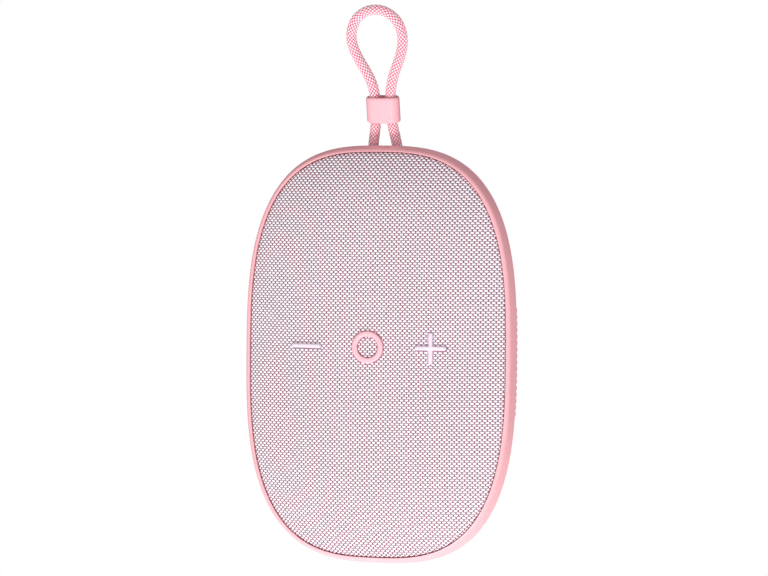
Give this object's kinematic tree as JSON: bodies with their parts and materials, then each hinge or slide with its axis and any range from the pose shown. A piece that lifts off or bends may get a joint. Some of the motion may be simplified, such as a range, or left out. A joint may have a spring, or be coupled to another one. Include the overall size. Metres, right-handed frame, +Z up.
{
  "type": "shower speaker",
  "caption": "Pebble-shaped hanging speaker with a domed woven front, raised control marks, a side port flap and a braided cord loop with a sliding bead.",
  "frame": {"origin": "hang point: the inside of the top of the cord loop, where a hook carries the speaker", "axes": "+Z up along the speaker's height, -Y out of the woven front, +Y out of the flat back, +X to the port flap's side"},
  "size_m": [0.0952, 0.0427, 0.1899],
  "materials": {
    "soft_touch": "soft touch",
    "rim_gloss": "satin",
    "pink_rubber": "matte",
    "lilac_icon": "matte",
    "woven_fabric": "woven",
    "braided_cord": "braided",
    "bead": "satin",
    "grey_plastic": "moulded",
    "black_rubber": "matte",
    "circuit_board": "solder mask",
    "steel": "plated",
    "ferrite": "sintered",
    "copper": "wound wire",
    "paper_cone": "pressed",
    "cell_wrap": "shrink wrap",
    "led_lens": "clear"
  },
  "bodies": {
    "housing": {"anchor_screw_left": "steel", "anchor_screw_right": "steel", "baffle_plate": "grey_plastic", "battery_cell": "cell_wrap", "battery_cradle": "grey_plastic", "battery_lead": "black_rubber", "buffer_capacitor": "steel", "button_board": "circuit_board", "button_ribbon": "grey_plastic", "cord_grommet_left": "pink_rubber", "cord_grommet_right": "pink_rubber", "driver_basket": "steel", "driver_gasket": "black_rubber", "driver_lead": "black_rubber", "driver_magnet": "ferrite", "driver_screw_1": "steel", "driver_screw_2": "steel", "driver_screw_3": "steel", "driver_screw_4": "steel", "driver_spider": "paper_cone", "driver_surround": "black_rubber", "driver_top_plate": "steel", "driver_yoke": "steel", "fabric_cover": "woven_fabric", "front_bezel": "rim_gloss", "grille_dome": "grey_plastic", "housing_screw_1": "steel", "housing_screw_2": "steel", "housing_screw_3": "steel", "housing_screw_4": "steel", "housing_screw_5": "steel", "housing_screw_6": "steel", "lanyard_cord": "braided_cord", "main_board": "circuit_board", "microphone": "steel", "power_inductor": "ferrite", "radiator_frame": "grey_plastic", "radiator_surround": "black_rubber", "rear_pad": "pink_rubber", "rear_shell": "soft_touch", "seal_ring": "black_rubber", "shield_can": "steel", "status_led": "led_lens", "strap_anchor": "grey_plastic", "tact_switch_minus": "grey_plastic", "tact_switch_play": "grey_plastic", "tact_switch_plus": "grey_plastic", "usb_board": "circuit_board", "usb_socket": "steel"},
    "minus_key": {"minus_button": "lilac_icon"},
    "play_key": {"play_button": "pink_rubber", "play_fabric_insert": "woven_fabric"},
    "plus_key": {"plus_button": "lilac_icon"},
    "flap": {"port_flap": "pink_rubber"},
    "cord_slider": {"lanyard_bead": "bead"},
    "cone_assembly": {"driver_cone": "paper_cone", "driver_dust_cap": "paper_cone", "driver_voice_coil": "copper"},
    "radiator_piston": {"radiator_plate": "paper_cone"}
  },
  "joints": [
    {"name": "minus_press", "type": "slide", "parent": "housing", "child": "minus_key", "axis": [0, 1, 0], "range_m": [0, 0.0005], "stiffness_N_per_m": 800},
    {"name": "play_press", "type": "slide", "parent": "housing", "child": "play_key", "axis": [0, 1, 0], "range_m": [0, 0.0005], "stiffness_N_per_m": 800},
    {"name": "plus_press", "type": "slide", "parent": "housing", "child": "plus_key", "axis": [0, 1, 0], "range_m": [0, 0.0005], "stiffness_N_per_m": 800},
    {"name": "flap_swing", "type": "hinge", "parent": "housing", "child": "flap", "pos_m": [0.04598, 0.01354, -0.09847], "axis": [0.3166, -0.9486, 0], "range_deg": [0, 110]},
    {"name": "bead_slide", "type": "slide", "parent": "housing", "child": "cord_slider", "axis": [0, -0.2334, 0.9724], "range_m": [-0.0015, 0.0035], "deforming": ["lanyard_cord"]},
    {"name": "cone_travel", "type": "slide", "parent": "housing", "child": "cone_assembly", "axis": [0, -1, 0], "range_m": [-0.0015, 0.0015], "stiffness_N_per_m": 1500, "deforming": ["driver_surround", "driver_spider"]},
    {"name": "radiator_travel", "type": "slide", "parent": "housing", "child": "radiator_piston", "axis": [0, -1, 0], "range_m": [-0.002, 0.002], "stiffness_N_per_m": 600, "deforming": ["radiator_surround"]}
  ]
}
